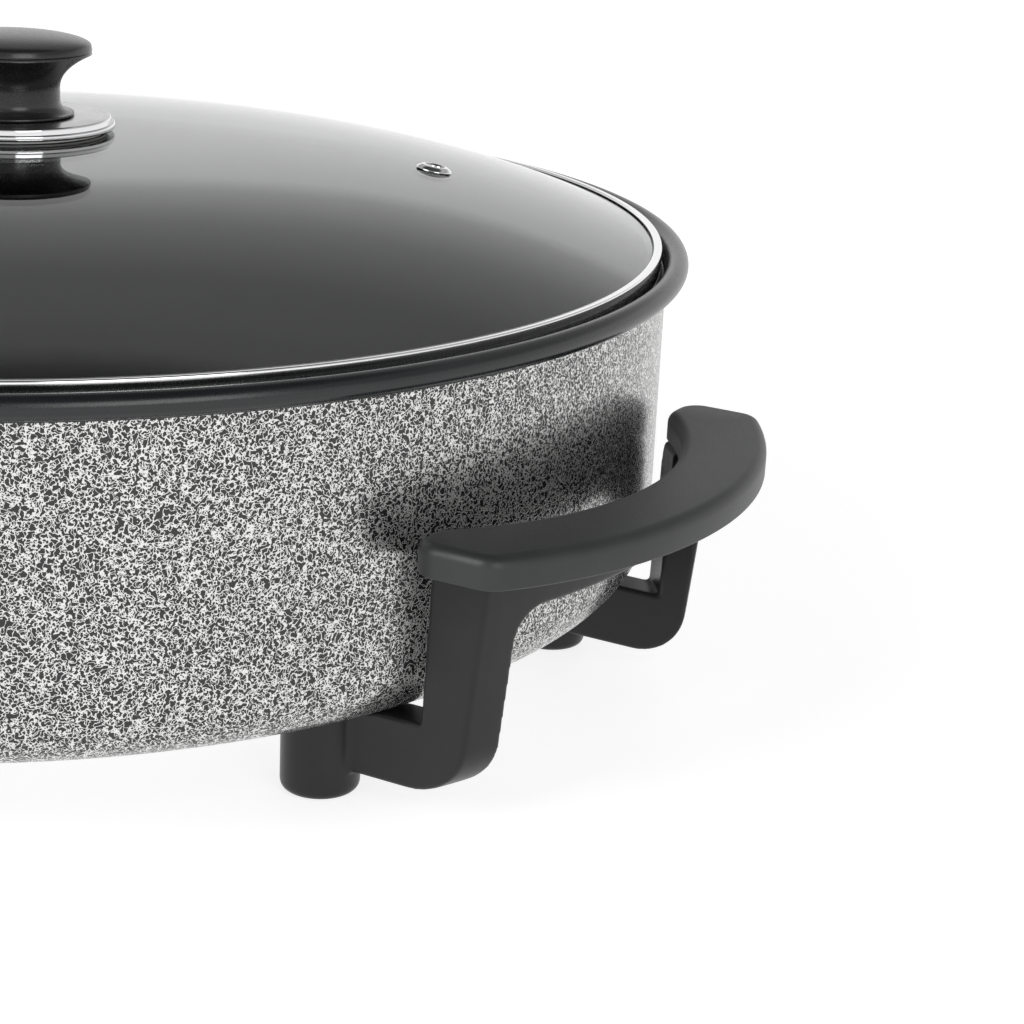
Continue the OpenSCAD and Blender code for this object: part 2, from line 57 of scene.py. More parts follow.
class Body(Enum):
    """The two bodies of the skillet that move apart."""

    BASE = "base"
    LID = "lid"


class Side(Enum):
    """The handle's side, as its turn about the pan's axis in degrees."""

    RIGHT = 0.0
    LEFT = 180.0

    @property
    def prefix(self) -> str:
        """First word of the names of this side's nodes."""
        return self.name.lower()


# Materials


def shade(colour: Colour, share: float) -> Colour:
    """Lightens or darkens a colour.

    Args:
        colour: the colour.
        share: factor on each of its values.

    Returns:
        The colour times the factor, at most 1.
    """
    return tuple(min(1.0, value * share) for value in colour)


class Sheet:
    """Short ways to lay out the nodes of one material."""

    def __init__(self, name: str) -> None:
        """Starts a material that holds one Principled shader.

        Args:
            name: the material's name.
        """
        self.material = bpy.data.materials.new(name)
        self.material.use_nodes = True
        self.tree = self.material.node_tree
        self.shader = self.tree.nodes["Principled BSDF"]

    def node(self, kind: str, **values: object) -> bpy.types.Node:
        """Adds a node and sets its properties.

        Args:
            kind: the node's type name.
            values: the node's own properties.

        Returns:
            The new node.
        """
        made = self.tree.nodes.new(kind)
        for key, value in values.items():
            setattr(made, key, value)
        return made

    def link(self, source: bpy.types.NodeSocket, target: bpy.types.NodeSocket) -> None:
        """Joins an output to an input."""
        self.tree.links.new(source, target)

    def put(self, target: bpy.types.NodeSocket, value: object) -> None:
        """Links a socket, or writes a number or colour to the input.

        Args:
            target: the input.
            value: an output socket, a number, or a colour.
        """
        if isinstance(value, bpy.types.NodeSocket):
            self.link(value, target)
        else:
            target.default_value = value

    def place(self) -> bpy.types.NodeSocket:
        """Object coordinates, in metres."""
        return self.node("ShaderNodeTexCoord").outputs["Object"]

    def noise(self, scale: float, detail: float,
              where: bpy.types.NodeSocket | None = None) -> bpy.types.Node:
        """Noise texture with a given number of features in a metre.

        Args:
            scale: features in a metre.
            detail: octaves.
            where: coordinates, or None for the object's own.

        Returns:
            The texture node.
        """
        made = self.node("ShaderNodeTexNoise")
        made.inputs["Scale"].default_value = scale
        made.inputs["Detail"].default_value = detail
        self.link(where or self.place(), made.inputs["Vector"])
        return made

    def math(self, operation: str, first: object, second: object = 0.0) -> bpy.types.NodeSocket:
        """Math node on one or two values.

        Args:
            operation: name of the operation.
            first: output or number.
            second: output or number.

        Returns:
            The result.
        """
        made = self.node("ShaderNodeMath", operation=operation)
        self.put(made.inputs[0], first)
        self.put(made.inputs[1], second)
        return made.outputs[0]

    def ramp(self, value: bpy.types.NodeSocket, low: float, high: float,
             to_low: float = 0.0, to_high: float = 1.0) -> bpy.types.NodeSocket:
        """Smooth step between two values.

        Args:
            value: what is mapped.
            low: value that gives to_low.
            high: value that gives to_high.
            to_low: result at low.
            to_high: result at high.

        Returns:
            The mapped value.
        """
        made = self.node("ShaderNodeMapRange", interpolation_type="SMOOTHSTEP")
        self.link(value, made.inputs["Value"])
        made.inputs["From Min"].default_value = low
        made.inputs["From Max"].default_value = high
        made.inputs["To Min"].default_value = to_low
        made.inputs["To Max"].default_value = to_high
        return made.outputs["Result"]

    def mix(self, share: object, first: object, second: object) -> bpy.types.NodeSocket:
        """Mixes two colours.

        Args:
            share: weight of the second colour.
            first: colour or output.
            second: colour or output.

        Returns:
            The mixed colour.
        """
        made = self.node("ShaderNodeMix", data_type="RGBA")
        self.put(made.inputs["Factor"], share)
        self.put(made.inputs["A"], (*first, 1.0) if isinstance(first, tuple) else first)
        self.put(made.inputs["B"], (*second, 1.0) if isinstance(second, tuple) else second)
        return made.outputs["Result"]

    def bump(self, height: bpy.types.NodeSocket, depth: float, strength: float) -> None:
        """Puts a bump on the shader.

        Args:
            height: value between 0 and 1.
            depth: height of the relief in metres.
            strength: share of the effect.
        """
        made = self.node("ShaderNodeBump")
        made.inputs["Distance"].default_value = depth
        made.inputs["Strength"].default_value = strength
        self.link(height, made.inputs["Height"])
        self.link(made.outputs["Normal"], self.shader.inputs["Normal"])

    def set(self, **values: object) -> None:
        """Writes values to the shader's own sockets, named with underscores for spaces."""
        for key, value in values.items():
            self.put(self.shader.inputs[key.replace("_", " ")], value)


@dataclass(frozen=True)
class VeinPaint:
    """Two-tone paint of the pan's outside: a broken net of pearly veins on a dark ground.

    wide and close are the features of its two nets in a metre, the second set aside from the
    first. A noise of scale wander bends both by reach metres. A vein fades out between thin and
    thick, which are distances from the noise's middle value.
    """

    ground: Colour = (0.004, 0.004, 0.004)
    vein: Colour = (0.74, 0.74, 0.73)
    wide: float = 620.0
    close: float = 700.0
    wander: float = 1100.0
    reach: float = 0.0006
    thin: float = 0.020
    thick: float = 0.038
    aside: Place = (0.31, 0.527, -0.31)
    metal: float = 0.9
    gloss: float = 1.58
    rough_ground: float = 0.22
    rough_vein: float = 0.24
    relief: float = 0.00005

    def net(self, s: Sheet, scale: float, where: bpy.types.NodeSocket) -> bpy.types.NodeSocket:
        """Lines where a noise passes its middle value.

        Args:
            s: the material under work.
            scale: features in a metre.
            where: coordinates.

        Returns:
            1 on a line, 0 between the lines.
        """
        value = s.noise(scale, 1.0, where).outputs["Fac"]
        return s.ramp(s.math("ABSOLUTE", s.math("SUBTRACT", value, 0.5)), self.thick, self.thin)

    def build(self) -> bpy.types.Material:
        """Makes the material.

        Returns:
            The paint's material.
        """
        s = Sheet("vein_paint")
        bent = s.node("ShaderNodeVectorMath", operation="MULTIPLY_ADD")
        s.link(s.noise(self.wander, 1.0).outputs["Color"], bent.inputs[0])
        bent.inputs[1].default_value = (self.reach, self.reach, self.reach)
        s.link(s.place(), bent.inputs[2])
        moved = s.node("ShaderNodeVectorMath", operation="ADD")
        s.link(bent.outputs[0], moved.inputs[0])
        moved.inputs[1].default_value = self.aside
        veins = s.math("MAXIMUM", self.net(s, self.wide, bent.outputs[0]),
                       self.net(s, self.close, moved.outputs[0]))
        s.set(Base_Color=s.mix(veins, self.ground, self.vein),
              Metallic=s.math("MULTIPLY", veins, self.metal),
              IOR=self.gloss, Roughness=s.ramp(veins, 0.0, 1.0, self.rough_ground, self.rough_vein))
        s.bump(veins, self.relief, 0.3)
        return s.material


@dataclass(frozen=True)
class SatinCoat:
    """Dark coat or moulded plastic with a fine grain; its colour varies by the share mottle."""

    name: str
    colour: Colour
    roughness: float = 0.42
    grain: float = 2600.0
    relief: float = 0.00003
    mottle: float = 0.25
    gloss: float = 1.5

    def build(self) -> bpy.types.Material:
        """Makes the material.

        Returns:
            The coat's material.
        """
        s = Sheet(self.name)
        cloud = s.noise(60.0, 3.0).outputs["Fac"]
        dark = shade(self.colour, 1.0 - self.mottle)
        light = shade(self.colour, 1.0 + self.mottle)
        grain = s.noise(self.grain, 2.0).outputs["Fac"]
        s.set(Base_Color=s.mix(s.ramp(cloud, 0.3, 0.7), dark, light), IOR=self.gloss,
              Roughness=s.ramp(grain, 0.2, 0.8, self.roughness - 0.05, self.roughness + 0.06))
        s.bump(grain, self.relief, 0.6)
        return s.material


@dataclass(frozen=True)
class NonstickCoat:
    """Black non-stick coat with a soft sheen."""

    dark: Colour = (0.004, 0.004, 0.004)
    light: Colour = (0.006, 0.006, 0.006)
    gloss: float = 1.25
    relief: float = 0.000003

    def build(self) -> bpy.types.Material:
        """Makes the material.

        Returns:
            The coat's material.
        """
        s = Sheet("nonstick_coat")
        cloud = s.noise(45.0, 2.0).outputs["Fac"]
        s.set(Base_Color=s.mix(s.ramp(cloud, 0.3, 0.7), self.dark, self.light),
              Roughness=s.ramp(cloud, 0.2, 0.8, 0.52, 0.60), IOR=self.gloss)
        s.bump(s.noise(2200.0, 1.0).outputs["Fac"], self.relief, 0.3)
        return s.material


@dataclass(frozen=True)
class TurnedMetal:
    """Metal with fine lines round the pan's axis."""

    name: str
    colour: Colour = (0.80, 0.80, 0.81)
    roughness: float = 0.12
    lines: float = 2600.0
    relief: float = 0.000004
    darker: float = 0.9

    def build(self) -> bpy.types.Material:
        """Makes the material.

        Returns:
            The metal's material.
        """
        s = Sheet(self.name)
        flat = s.node("ShaderNodeVectorMath", operation="MULTIPLY")
        s.link(s.place(), flat.inputs[0])
        flat.inputs[1].default_value = (1.0, 1.0, 0.0)
        radius = s.node("ShaderNodeVectorMath", operation="LENGTH")
        s.link(flat.outputs[0], radius.inputs[0])
        height = s.node("ShaderNodeSeparateXYZ")
        s.link(s.place(), height.inputs[0])
        where = s.node("ShaderNodeCombineXYZ")
        s.link(radius.outputs["Value"], where.inputs[0])
        s.link(height.outputs["Z"], where.inputs[1])
        brushed = s.noise(self.lines, 2.0, where.outputs[0]).outputs["Fac"]
        smudge = s.noise(70.0, 3.0).outputs["Fac"]
        rough = s.math("ADD", s.ramp(brushed, 0.3, 0.7, -0.03, 0.03),
                       s.ramp(smudge, 0.3, 0.7, self.roughness - 0.02, self.roughness + 0.04))
        s.set(Base_Color=s.mix(brushed, shade(self.colour, self.darker), self.colour),
              Metallic=1.0, Roughness=rough)
        s.bump(brushed, self.relief, 0.5)
        return s.material


@dataclass(frozen=True)
class GrainyMetal:
    """Cast, pressed or plated metal with a cloudy surface."""

    name: str
    colour: Colour
    roughness: float = 0.35
    grain: float = 500.0
    relief: float = 0.00003
    darker: float = 0.78

    def build(self) -> bpy.types.Material:
        """Makes the material.

        Returns:
            The metal's material.
        """
        s = Sheet(self.name)
        grain = s.noise(self.grain, 4.0).outputs["Fac"]
        cloud = s.noise(90.0, 3.0).outputs["Fac"]
        darker = shade(self.colour, self.darker)
        s.set(Base_Color=s.mix(s.ramp(cloud, 0.25, 0.75), darker, self.colour), Metallic=1.0,
              Roughness=s.ramp(grain, 0.2, 0.8, self.roughness - 0.08, self.roughness + 0.1))
        s.bump(grain, self.relief, 0.5)
        return s.material


@dataclass(frozen=True)
class SmokedGlass:
    """Tempered lid glass, slightly grey and very smooth."""

    tint: Colour = (0.44, 0.46, 0.45)
    lighter: float = 1.03
    gloss: float = 1.52

    def build(self) -> bpy.types.Material:
        """Makes the material.

        Returns:
            The glass's material.
        """
        s = Sheet("smoked_glass")
        haze = s.noise(14.0, 2.0).outputs["Fac"]
        s.set(Base_Color=s.mix(haze, self.tint, shade(self.tint, self.lighter)),
              IOR=self.gloss, Transmission_Weight=1.0,
              Roughness=s.ramp(haze, 0.2, 0.8, 0.004, 0.012))
        return s.material


@dataclass(frozen=True)
class PaleMatt:
    """Milky silicone or unglazed ceramic: pale and dull."""

    name: str
    colour: Colour
    roughness: float = 0.5
    darker: float = 0.88

    def build(self) -> bpy.types.Material:
        """Makes the material.

        Returns:
            The material.
        """
        s = Sheet(self.name)
        cloud = s.noise(180.0, 3.0).outputs["Fac"]
        s.set(Base_Color=s.mix(cloud, shade(self.colour, self.darker), self.colour),
              Roughness=s.ramp(cloud, 0.2, 0.8, self.roughness - 0.06, self.roughness + 0.06))
        s.bump(s.noise(1500.0, 2.0).outputs["Fac"], 0.00003, 0.4)
        return s.material


class Finish(Enum):
    """Every finish on the skillet."""

    VEIN = VeinPaint()
    RIM = SatinCoat("rim_enamel", (0.008, 0.009, 0.010), 0.25, 2400.0, 0.00002, 0.12)
    NONSTICK = NonstickCoat()
    HANDLE = SatinCoat("handle_moulding", (0.010, 0.011, 0.010), 0.34, 2600.0, 0.00002, 0.10, 1.38)
    GRIP = SatinCoat("grip_moulding", (0.021, 0.023, 0.022), 0.42, 2600.0, 0.00003, 0.10, 1.45)
    KNOB = SatinCoat("knob_moulding", (0.012, 0.012, 0.012), 0.24, 1800.0, 0.00001, 0.10)
    GUARD = SatinCoat("guard_moulding", (0.018, 0.018, 0.019), 0.50, 2200.0, 0.00005, 0.15)
    RING = TurnedMetal("ring_steel", (0.92, 0.92, 0.92), 0.10)
    VENT = TurnedMetal("vent_steel", (0.82, 0.82, 0.82), 0.08)
    PLATE = TurnedMetal("plate_chrome", (0.84, 0.84, 0.85), 0.06, 3200.0, 0.000003)
    # Satin copy of the plate's chrome. Its rougher surface is its own finish, and its darker colour
    # is painted shade that dims the reflection on the plate's top.
    PLATE_TOP_PAINTED_DIM = TurnedMetal("plate_satin_painted_dim", (0.46, 0.46, 0.46), 0.20, 3200.0, 0.000003)
    GLASS = SmokedGlass()
    CAST = GrainyMetal("cast_aluminium", (0.72, 0.72, 0.73), 0.42, 700.0, 0.00008)
    SHEATH = GrainyMetal("tube_sheath", (0.24, 0.23, 0.22), 0.48, 900.0, 0.00004)
    ZINC = GrainyMetal("zinc_plated", (0.70, 0.70, 0.71), 0.30, 1400.0, 0.00001)
    COVER = GrainyMetal("pressed_sheet", (0.66, 0.66, 0.67), 0.34, 260.0, 0.00002)
    BLACKENED = GrainyMetal("blackened_steel", (0.035, 0.035, 0.036), 0.38, 1400.0, 0.00001)
    BRASS = GrainyMetal("satin_brass", (0.76, 0.60, 0.30), 0.28, 1200.0, 0.00001)
    CERAMIC = PaleMatt("seal_ceramic", (0.86, 0.84, 0.78), 0.62)
    SILICONE = PaleMatt("milky_silicone", (0.78, 0.78, 0.76), 0.40)


class Palette:
    """Builds each finish once and hands it out."""

    def __init__(self) -> None:
        """Starts with no material made."""
        self._made: dict[Finish, bpy.types.Material] = {}

    def __getitem__(self, finish: Finish) -> bpy.types.Material:
        """The material of a finish."""
        if finish not in self._made:
            self._made[finish] = finish.value.build()
        return self._made[finish]


# Mesh helpers


def arc(middle: Point, radius: float, start: float, end: float, steps: int) -> list[Point]:
    """Points on an arc of a section.

    Args:
        middle: the arc's middle (r, z).
        radius: its radius.
        start: first angle in degrees, from outwards towards up.
        end: last angle in degrees.
        steps: number of stretches.

    Returns:
        The points from the first angle to the last.
    """
    turns = [math.radians(start + (end - start) * i / steps) for i in range(steps + 1)]
    return [(middle[0] + radius * math.cos(a), middle[1] + radius * math.sin(a)) for a in turns]


def spin_section(section: Sequence[Point], steps: int, closed: bool = True) -> bmesh.types.BMesh:
    """Turns a section (r, z) in millimetres once round the Z axis.

    Args:
        section: the section's points in order.
        steps: stretches of the full turn.
        closed: whether the last point joins the first.

    Returns:
        A mesh in metres with merged seams and outward faces.
    """
    bm = bmesh.new()
    corners = [bm.verts.new((r * MM, 0.0, z * MM)) for r, z in section]
    pairs = list(zip(corners, corners[1:]))
    if closed:
        pairs.append((corners[-1], corners[0]))
    edges = [bm.edges.new(pair) for pair in pairs]
    bmesh.ops.spin(bm, geom=corners + edges, cent=(0, 0, 0), axis=(0, 0, 1),
                   angle=math.tau, steps=steps, use_merge=True, use_duplicate=False)
    bmesh.ops.remove_doubles(bm, verts=bm.verts, dist=1e-6)
    bmesh.ops.recalc_face_normals(bm, faces=bm.faces)
    return bm


def make_piece(bm: bmesh.types.BMesh, name: str, materials: Sequence[bpy.types.Material],
               sharp: float = 40.0) -> bpy.types.Object:
    """Turns a mesh under work into an object at the origin, shaded smooth.

    Args:
        bm: the mesh; it is freed.
        name: the object's name.
        materials: its material slots.
        sharp: angle in degrees past which an edge stays sharp.

    Returns:
        The object.
    """
    mesh = bpy.data.meshes.new(name)
    bm.to_mesh(mesh)
    bm.free()
    for material in materials:
        mesh.materials.append(material)
    mesh.shade_smooth()
    mesh.set_sharp_from_angle(angle=math.radians(sharp))
    piece = bpy.data.objects.new(name, mesh)
    bpy.context.scene.collection.objects.link(piece)
    return piece


def paint_faces(bm: bmesh.types.BMesh, choose: Callable[[Vector, Vector], int]) -> None:
    """Gives each face a material slot.

    Args:
        bm: the mesh.
        choose: takes a face's middle and normal and gives the slot's number.
    """
    bm.normal_update()
    for face in bm.faces:
        face.material_index = choose(face.calc_center_median(), face.normal)


def applied(piece: bpy.types.Object) -> bpy.types.Mesh:
    """A new mesh: the piece's own with its modifiers applied."""
    graph = bpy.context.evaluated_depsgraph_get()
    return bpy.data.meshes.new_from_object(piece.evaluated_get(graph))


def hand_over(piece: bpy.types.Object, body: Body, slot: str, *nodes: str) -> None:
    """Lets a piece ride and stand for its CAD nodes.

    Args:
        piece: the finished piece.
        body: the body that it moves with.
        slot: the record's material slot; not used.
        nodes: the CAD nodes that it stands for.
    """
    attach(piece, body.value)
    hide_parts(*nodes)
    triangles = sum(len(face.vertices) - 2 for face in piece.data.polygons)
    log.info("%s stands for %s: %d triangles", piece.name, ", ".join(nodes), triangles)


# Pan


@dataclass
class PanBody:
    """Deep dish with an upright wall, a rolled rim and a ledge for the lid."""

    outer_r: float = 203.4
    wall: float = 3.2
    floor: float = 3.6
    lift: float = 26.6
    rim_z: float = 122.9
    bead: float = 3.3
    corner: float = 16.0
    ledge_w: float = 2.6
    ledge_drop: float = 3.0
    coat_top: float = 118.2
    enamel_in: float = 1.0
    down: float = -0.3
    finishes: tuple[Finish, ...] = (Finish.VEIN, Finish.RIM, Finish.NONSTICK)

    def section(self) -> list[Point]:
        """Section from the middle of the underside, round the rim, to the middle of the floor.

        Returns:
            The section's points.
        """
        inner = self.outer_r - self.wall
        bead_x = self.outer_r + self.bead
        mouth = inner + self.ledge_w
        ledge = self.rim_z - self.ledge_drop
        inside = self.corner - self.wall
        bend = self.outer_r - self.corner
        points: list[Point] = [(r, self.lift) for r in (0.0, 60.0, 120.0, 160.0, 180.0)]
        points += arc((bend, self.lift + self.corner), self.corner, -90, 0, 14)
        points += [(self.outer_r, z) for z in (52, 62, 72, 82, 92, 102, 110, 115, 117.4)]
        points += [(self.outer_r, self.coat_top), (self.outer_r + 0.25, self.coat_top + 0.6)]
        points += [(self.outer_r + 0.9, self.coat_top + 1.15),
                   (self.outer_r + 1.8, self.coat_top + 1.4)]
        points += arc((bead_x, self.rim_z), self.bead, -90, 170, 24)
        points += [(mouth + 0.1, self.rim_z - 0.4), (mouth, self.rim_z - 0.9), (mouth, ledge + 0.5)]
        points += [(mouth - 0.15, ledge + 0.15), (mouth - 0.5, ledge), (inner + 0.5, ledge)]
        points += [(inner + 0.15, ledge - 0.15), (inner, ledge - 0.5)]
        points += [(inner, z) for z in (112, 102, 92, 82, 72, 62, 52)]
        points += arc((bend, self.lift + self.floor + inside), inside, 0, -90, 12)
        points += [(r, self.lift + self.floor) for r in (170.0, 130.0, 90.0, 40.0, 0.0)]
        return points

    def slot_of(self, middle: Vector, normal: Vector) -> int:
        """Outside paint, rim enamel or inner coat for a face, by where it is and where it looks.

        Args:
            middle: the face's middle in metres.
            normal: its normal.

        Returns:
            The finish's place in finishes.
        """
        outward = normal.x * middle.x + normal.y * middle.y
        wide = math.hypot(middle.x, middle.y) > self.outer_r * MM - self.enamel_in * MM
        if wide and middle.z > self.coat_top * MM:
            return self.finishes.index(Finish.RIM)
        if normal.z < self.down or outward > 0.0:
            return self.finishes.index(Finish.VEIN)
        return self.finishes.index(Finish.NONSTICK)

    def build(self, palette: Palette) -> None:
        """Makes the pan.

        Args:
            palette: the finishes.
        """
        bm = spin_section(self.section(), 288, closed=False)
        paint_faces(bm, self.slot_of)
        materials = [palette[finish] for finish in self.finishes]
        piece = make_piece(bm, "pan_shell", materials, sharp=50.0)
        hand_over(piece, Body.BASE, "pan_coating", "pan")


# Lid and knob


@dataclass
class Lid:
    """Domed glass in a steel ring, with an eyelet for steam."""

    ring_r: float = 201.6
    ring_low: float = 120.2
    ring_h: float = 7.6
    ring_w: float = 2.6
    ring_corner: float = 0.5
    strip: float = 0.8
    gap: float = 0.15
    glass_t: float = 4.0
    glass_edge: float = 0.6
    rise: float = 26.6
    crown: float = 2.85
    hub_r: float = 2.6
    vent_r: float = 130.0
    vent_turn: float = 31.0
    vent_flange: float = 5.6
    vent_bore: float = 2.6
    vent_wall: float = 0.7
    vent_hole: float = 3.7
    hole_reach: float = 8.0
    glass_steps: int = 84

    @property
    def glass_r(self) -> float:
        """Radius of the glass."""
        return self.ring_r - self.strip - self.gap

    @property
    def glass_low(self) -> float:
        """Height of the upper face of the glass at its edge."""
        hem = self.rise * (1 - ((self.ring_r - self.ring_w) / self.glass_r) ** self.crown)
        return self.ring_low + self.ring_h - self.strip - self.gap - hem

    def top(self, r: float) -> float:
        """Height of the upper face of the glass at a distance from the axis."""
        return self.glass_low + self.rise * (1 - (r / self.glass_r) ** self.crown)

    def glass_section(self) -> list[Point]:
        """Closed section of the pane with a rounded edge.

        Returns:
            The section's points.
        """
        edge = self.glass_r - self.glass_edge
        steps = self.glass_steps
        radii = [self.hub_r + (edge - self.hub_r) * i / steps for i in range(steps + 1)]
        upper = [(r, self.top(r)) for r in radii]
        lower = [(r, self.top(r) - self.glass_t) for r in reversed(radii)]
        low, high = lower[0][1], upper[-1][1]
        rim = [(self.glass_r - 0.15, high - 0.55), (self.glass_r, high - 1.3),
               (self.glass_r, low + 1.0), (self.glass_r - 0.15, low + 0.3)]
        return upper + rim + lower

    def vent_frame(self) -> Matrix:
        """Place of the eyelet: on the glass and square to it.

        Returns:
            The matrix, in metres.
        """
        share = (self.vent_r / self.glass_r) ** (self.crown - 1)
        slope = math.atan(self.rise * self.crown / self.glass_r * share)
        return (Matrix.Rotation(math.radians(self.vent_turn), 4, "Z")
                @ Matrix.Translation((self.vent_r * MM, 0.0, self.top(self.vent_r) * MM))
                @ Matrix.Rotation(slope, 4, "Y"))

    def build_glass(self, palette: Palette) -> None:
        """Makes the pane and opens it for the eyelet.

        Args:
            palette: the finishes.
        """
        bm = spin_section(self.glass_section(), 288)
        inverse = self.vent_frame().inverted()
        inside = [v for v in bm.verts if math.hypot(*(inverse @ v.co).xy) < self.vent_hole * MM
                  and abs((inverse @ v.co).z) < self.hole_reach * MM]
        bmesh.ops.delete(bm, geom=inside, context="VERTS")
        rims = [e for e in bm.edges if e.is_boundary]
        bmesh.ops.bridge_loops(bm, edges=rims)
        bmesh.ops.recalc_face_normals(bm, faces=bm.faces)
        piece = make_piece(bm, "glass_pane", [palette[Finish.GLASS]], sharp=35.0)
        hand_over(piece, Body.LID, "lid_glass", "lid_glass")

    def build_ring(self, palette: Palette) -> None:
        """Makes the strip that is folded round the edge of the glass.

        Args:
            palette: the finishes.
        """
        top = self.ring_low + self.ring_h
        flange = self.ring_r - self.ring_w
        under = self.glass_low - self.glass_t - self.gap
        lip = self.ring_r - 2 * self.ring_w
        inner = self.ring_r - self.strip
        round_r = self.ring_corner
        under_lip = under - self.strip
        floor = self.ring_low + self.strip
        section: list[Point] = [
            (flange + 0.35, top - self.strip), (flange + 0.1, top - self.strip + 0.12),
            (flange, top - 0.45), (flange + 0.1, top - 0.18), (flange + 0.35, top - 0.03)]
        section += arc((self.ring_r - round_r, top - round_r), round_r, 90, 0, 6)
        section += [(self.ring_r, top - 2.6), (self.ring_r, self.ring_low + 2.4)]
        section += arc((self.ring_r - round_r, self.ring_low + round_r), round_r, 0, -90, 5)
        section += [(inner - 1.0, self.ring_low), (inner - 1.1, self.ring_low + 0.4),
                    (inner - 1.0, floor), (inner - 0.3, floor), (inner, floor + 0.3),
                    (inner, under_lip), (lip + 0.3, under_lip), (lip, under - self.strip / 2),
                    (lip + 0.3, under), (inner, under), (inner, top - self.strip - 0.4),
                    (inner - 0.4, top - self.strip)]
        bm = spin_section(section, 288)
        piece = make_piece(bm, "ring_strip", [palette[Finish.RING]], sharp=60.0)
        hand_over(piece, Body.LID, "ring_steel", "lid_ring")

    def build_vent(self, palette: Palette) -> None:
        """Makes the eyelet.

        Args:
            palette: the finishes.
        """
        bore, wall, brim = self.vent_bore, self.vent_wall, self.vent_flange
        low = -self.glass_t - self.gap
        section: list[Point] = [
            (bore, low - wall), (brim - 0.4, low - wall), (brim, low - wall / 2),
            (brim - 0.4, low), (bore + wall, low), (bore + wall, self.gap)]
        section += [(brim - 0.3, self.gap), (brim, self.gap + 0.2), (brim - 0.1, self.gap + 0.5)]
        section += arc((bore + 1.1, self.gap + 0.3), 1.1, 62, 180, 10)
        bm = spin_section(section, 64)
        bmesh.ops.transform(bm, matrix=self.vent_frame(), verts=bm.verts)
        piece = make_piece(bm, "steam_eyelet", [palette[Finish.VENT]], sharp=60.0)
        hand_over(piece, Body.LID, "vent_steel", "steam_vent")

    def build(self, palette: Palette) -> None:
        """Makes the pane, the ring and the eyelet."""
        self.build_glass(palette)
        self.build_ring(palette)
        self.build_vent(palette)


@dataclass
class Knob:
    """Waisted knob on a polished two-step plate."""

    plate_low: float = 153.78
    plate_r: float = 31.4
    plate_t: float = 3.6
    plate_edge: float = 0.6
    step_edge: float = 0.7
    # Faces whose normal looks up more than this take the painted shade of the plate's top.
    painted_dim_up: float = 0.9
    hub_r: float = 2.6
    foot_r: float = 19.0
    waist_r: float = 14.8
    top_r: float = 24.6
    height: float = 25.0
    crown_h: float = 4.0
    brim_t: float = 2.4
    insert_r: float = 5.15
    insert_h: float = 12.0
    seat: float = 0.15
    foot_share: float = 0.13
    waist_share: float = 0.32
    flare_power: float = 2.2

    def build_plate(self, palette: Palette) -> None:
        """Makes the plate.

        Args:
            palette: the finishes.
        """
        half = self.plate_t / 2
        step = self.plate_r - self.plate_t / 3
        low, edge, lip = self.plate_low, self.plate_edge, self.step_edge
        section: list[Point] = [(self.hub_r, low), (self.plate_r - edge, low)]
        section += arc((self.plate_r - edge, low + edge), edge, -80, 0, 5)
        section += arc((self.plate_r - edge, low + half - edge), edge, 0, 80, 5)
        section += [(step + 0.15, low + half + 0.02)]
        section += arc((step - lip, low + self.plate_t - lip), lip, 0, 90, 6)
        section += [(self.foot_r, low + self.plate_t), (self.hub_r, low + self.plate_t)]
        bm = spin_section(section, 192)
        # Faces that look up take the darker satin copy: painted shade on the top of the plate.
        paint_faces(bm, lambda middle, normal: 1 if normal.z > self.painted_dim_up else 0)
        piece = make_piece(bm, "knob_disc", [palette[Finish.PLATE], palette[Finish.PLATE_TOP_PAINTED_DIM]],
                           sharp=50.0)
        hand_over(piece, Body.LID, "plate_chrome", "knob_plate")

    def flare(self, share: float) -> float:
        """Radius at a share of the way from the waist to the brim."""
        return self.waist_r + (self.top_r - self.waist_r) * share ** self.flare_power

    def build_grip(self, palette: Palette) -> None:
        """Makes the moulded knob.

        Args:
            palette: the finishes.
        """
        low = self.plate_low + self.plate_t + self.seat
        foot_h = self.height * self.foot_share
        waist_z = self.height * self.waist_share
        brim = self.height - self.crown_h - self.brim_t
        section: list[Point] = [(self.insert_r, low), (self.foot_r - 0.4, low)]
        section += arc((self.foot_r - 0.5, low + 0.5), 0.5, -60, 40, 4)
        for i in range(1, 11):
            t = i / 10
            r = self.foot_r - 0.2 - (self.foot_r - 0.2 - self.waist_r) * math.sin(t * math.pi / 2)
            section.append((r, low + 0.8 + (foot_h + 1.2 - 0.8) * (1 - math.cos(t * math.pi / 2))))
        for i in range(17):
            section.append((self.flare(i / 16), low + waist_z + (brim - waist_z) * i / 16))
        section += arc((self.top_r - 1.0, low + brim + 1.2), 1.0, -35, 20, 5)
        start = math.degrees(math.asin(0.12))
        for i in range(17):
            a = math.radians(start + (90 - start) * i / 16)
            section.append(((self.top_r - 0.1) * math.cos(a),
                            low + self.height - self.crown_h + self.crown_h * math.sin(a)))
        section += [(0.0, low + self.insert_h), (self.insert_r, low + self.insert_h)]
        piece = make_piece(spin_section(section, 160), "knob_moulding", [palette[Finish.KNOB]],
                           sharp=50.0)
        hand_over(piece, Body.LID, "knob_plastic", "knob")

    def build(self, palette: Palette) -> None:
        """Makes the plate and the knob."""
        self.build_plate(palette)
        self.build_grip(palette)


# Handles


